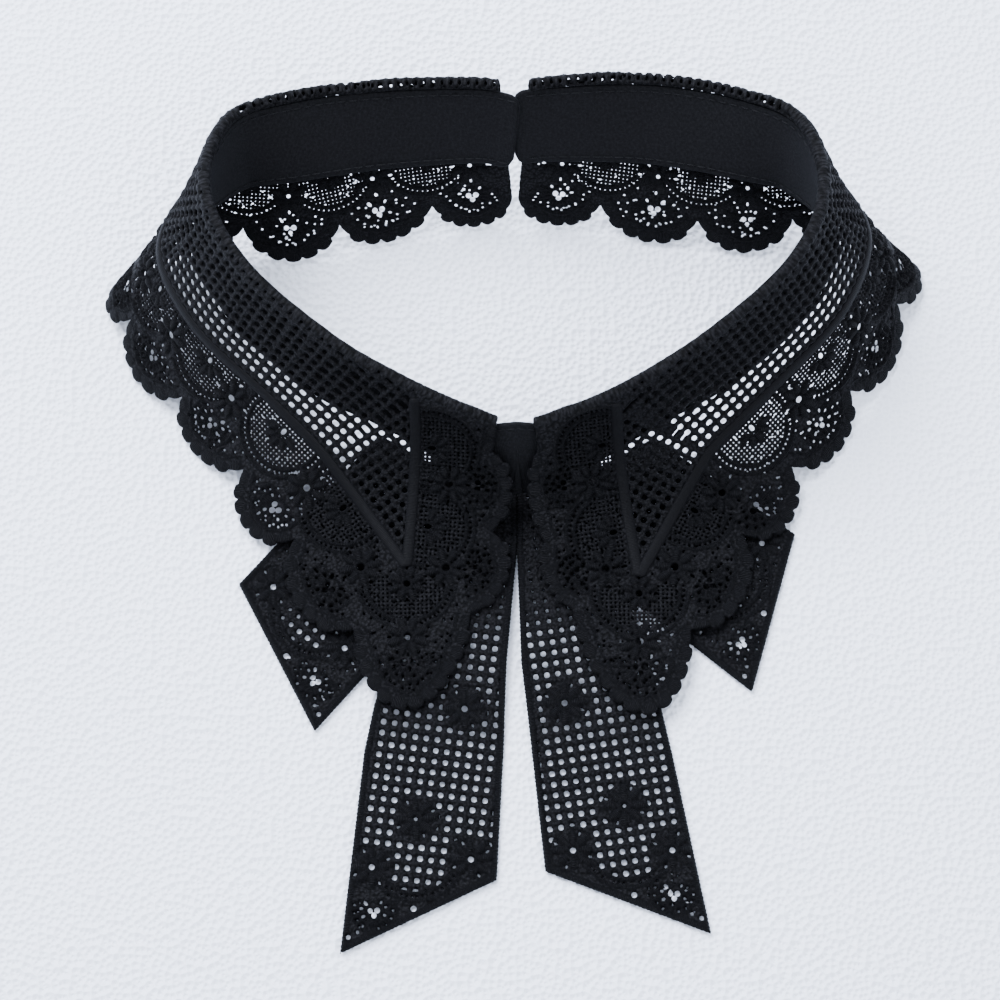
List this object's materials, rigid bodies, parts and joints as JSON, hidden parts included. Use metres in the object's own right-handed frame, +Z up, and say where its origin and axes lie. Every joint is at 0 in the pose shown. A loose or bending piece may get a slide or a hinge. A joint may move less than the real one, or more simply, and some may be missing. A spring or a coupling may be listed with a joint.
{
  "type": "false collar",
  "caption": "Detachable black lace collar with a woven neck stand, folded scalloped leaves and flat bow tails, laid on a table with its neck ring standing open.",
  "frame": {"origin": "middle of the collar's box, on the surface that it lies on", "axes": "+Z up from the surface; +Y from the tails' ends at the front towards the opening at the centre back; +X towards the right leaf as seen from above"},
  "size_m": [0.2169, 0.224, 0.0483],
  "materials": {
    "woven_cloth": "smooth matte black woven cotton",
    "lace": "matte black guipure lace of cotton and polyester thread, slight sheen on the satin stitches"
  },
  "bodies": {
    "root": {"neck_stand": "woven_cloth", "leaf_left": "lace", "leaf_right": "lace", "tail_long_left": "lace", "tail_long_right": "lace", "tail_short_left": "lace", "tail_short_right": "lace"}
  },
  "joints": []
}
